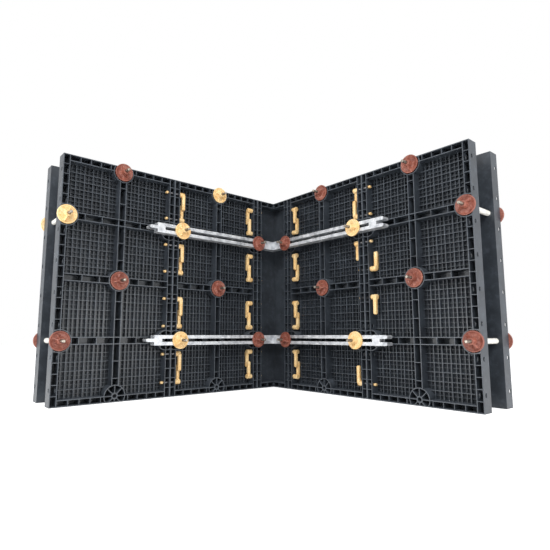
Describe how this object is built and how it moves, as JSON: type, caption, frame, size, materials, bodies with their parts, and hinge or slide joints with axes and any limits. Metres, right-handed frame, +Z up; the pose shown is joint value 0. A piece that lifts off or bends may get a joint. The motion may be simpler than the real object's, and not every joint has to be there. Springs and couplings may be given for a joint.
{
  "type": "concrete formwork panel set",
  "caption": "Inside-corner set of ribbed plastic wall formwork: inner and outer skins of locked panels, held apart by through ties with wing nuts and braced by aluminium walers.",
  "frame": {"origin": "middle of the whole set in plan, at the floor", "axes": "+Z up; the left wing runs along -X from the corner and shows its ribs to -Y; the right wing runs along -Y and shows its ribs to -X"},
  "size_m": [1.7015, 1.7015, 1.2165],
  "materials": {
    "black_plastic": "moulded, satin, dusty",
    "yellow_plastic": "moulded, satin",
    "brown_plastic": "moulded, satin",
    "white_plastic": "extruded, satin",
    "tie_steel": "rolled, dull",
    "waler_aluminium": "extruded, satin"
  },
  "bodies": {
    "root": {"inner_panel_left_end": "black_plastic", "inner_panel_left_near": "black_plastic", "inner_corner": "black_plastic", "inner_panel_right_near": "black_plastic", "inner_panel_right_end": "black_plastic", "outer_panel_left_end": "black_plastic", "outer_panel_left_near": "black_plastic", "outer_filler_left": "black_plastic", "outer_corner_post": "black_plastic", "outer_filler_right": "black_plastic", "outer_panel_right_near": "black_plastic", "outer_panel_right_end": "black_plastic", "locks_inner_left_mid": "yellow_plastic", "locks_inner_left_corner": "yellow_plastic", "locks_inner_right_corner": "yellow_plastic", "locks_inner_right_mid": "yellow_plastic", "locks_outer_left_mid": "yellow_plastic", "locks_outer_left_filler": "yellow_plastic", "locks_outer_left_post": "yellow_plastic", "locks_outer_right_post": "yellow_plastic", "locks_outer_right_filler": "yellow_plastic", "locks_outer_right_mid": "yellow_plastic", "tie_rods_left": "tie_steel", "tie_rods_right": "tie_steel", "tie_sleeves_left": "white_plastic", "tie_sleeves_right": "white_plastic", "front_nuts_brown_left": "brown_plastic", "front_nuts_yellow_left": "yellow_plastic", "front_nuts_brown_right": "brown_plastic", "front_nuts_yellow_right": "yellow_plastic", "back_nuts_brown_left": "brown_plastic", "back_nuts_yellow_left": "yellow_plastic", "back_nuts_brown_right": "brown_plastic", "back_nuts_yellow_right": "yellow_plastic", "waler_upper_left": "waler_aluminium", "waler_lower_left": "waler_aluminium", "waler_upper_right": "waler_aluminium", "waler_lower_right": "waler_aluminium", "waler_bracket_upper": "waler_aluminium", "waler_bracket_lower": "waler_aluminium"}
  },
  "joints": []
}
